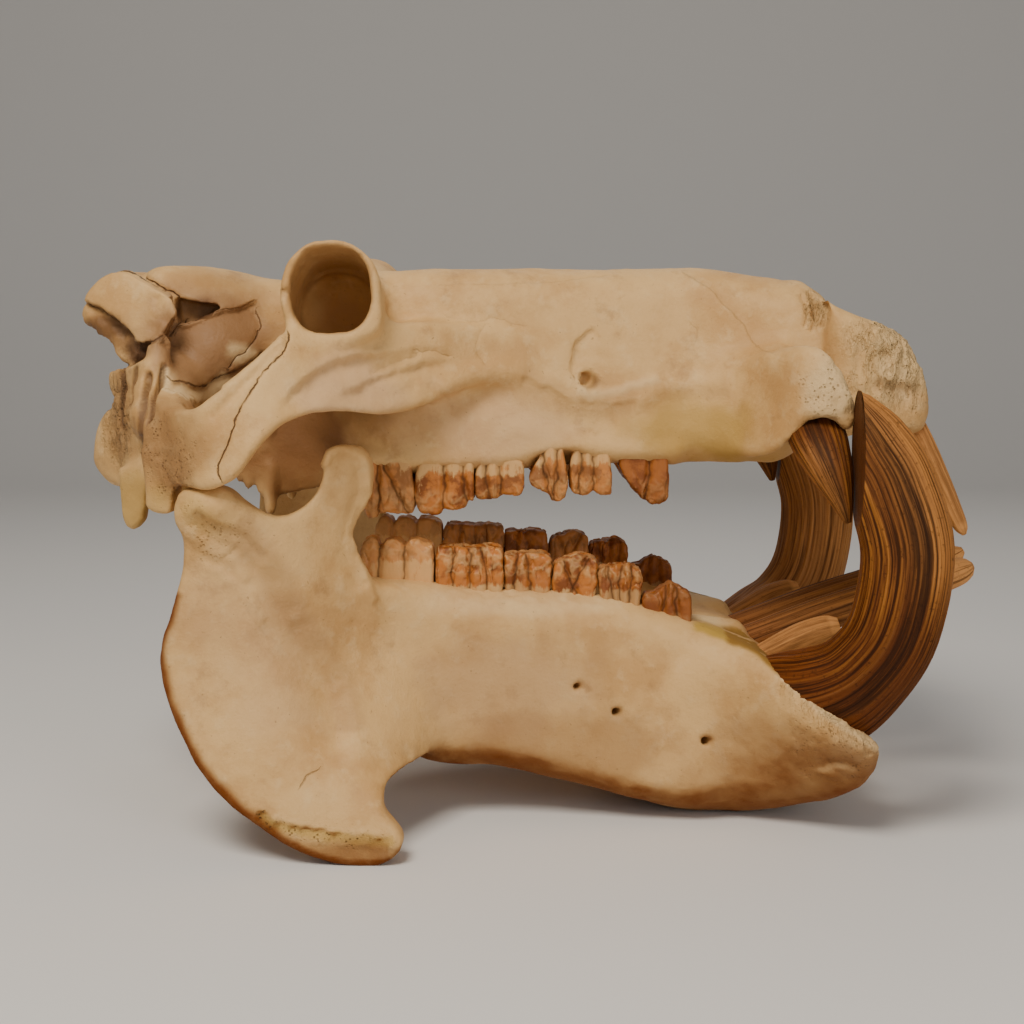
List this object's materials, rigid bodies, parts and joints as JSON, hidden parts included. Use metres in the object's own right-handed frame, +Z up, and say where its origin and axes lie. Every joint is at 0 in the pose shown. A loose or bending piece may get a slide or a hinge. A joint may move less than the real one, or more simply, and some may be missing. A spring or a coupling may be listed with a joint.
{
  "type": "hippopotamus skull",
  "caption": "Hippopotamus skull with its lower jaw in place: long flat muzzle, raised eye sockets, flared cheekbones and long curved tusks. Stands on its chin and jaw corners.",
  "frame": {"origin": "on the surface that the jaw stands on, under the middle of the skull's bounding box", "axes": "+X to the snout, +Y to the skull's left side, +Z up"},
  "size_m": [0.671, 0.404, 0.422],
  "materials": {
    "bone": "dry, aged bone, cream to tan, matt with a faint sheen",
    "cheek_teeth": "stained enamel, orange-brown with pale cusps",
    "tusk": "stained ivory, dark brown with ochre streaks"
  },
  "bodies": {
    "root": {"cranium": "bone", "mandible": "bone", "upper_right_canine": "tusk", "upper_right_incisor_1": "tusk", "upper_right_incisor_2": "tusk", "upper_right_premolar_2": "cheek_teeth", "upper_right_premolar_3": "cheek_teeth", "upper_right_premolar_4": "cheek_teeth", "upper_right_molar_1": "cheek_teeth", "upper_right_molar_2": "cheek_teeth", "upper_right_molar_3": "cheek_teeth", "upper_left_canine": "tusk", "upper_left_incisor_1": "tusk", "upper_left_incisor_2": "tusk", "upper_left_premolar_2": "cheek_teeth", "upper_left_premolar_3": "cheek_teeth", "upper_left_premolar_4": "cheek_teeth", "upper_left_molar_1": "cheek_teeth", "upper_left_molar_2": "cheek_teeth", "upper_left_molar_3": "cheek_teeth", "lower_right_canine": "tusk", "lower_right_incisor_1": "tusk", "lower_right_incisor_2": "tusk", "lower_right_premolar_2": "cheek_teeth", "lower_right_premolar_3": "cheek_teeth", "lower_right_premolar_4": "cheek_teeth", "lower_right_molar_1": "cheek_teeth", "lower_right_molar_2": "cheek_teeth", "lower_right_molar_3": "cheek_teeth", "lower_left_canine": "tusk", "lower_left_incisor_1": "tusk", "lower_left_incisor_2": "tusk", "lower_left_premolar_2": "cheek_teeth", "lower_left_premolar_3": "cheek_teeth", "lower_left_premolar_4": "cheek_teeth", "lower_left_molar_1": "cheek_teeth", "lower_left_molar_2": "cheek_teeth", "lower_left_molar_3": "cheek_teeth"}
  },
  "joints": []
}
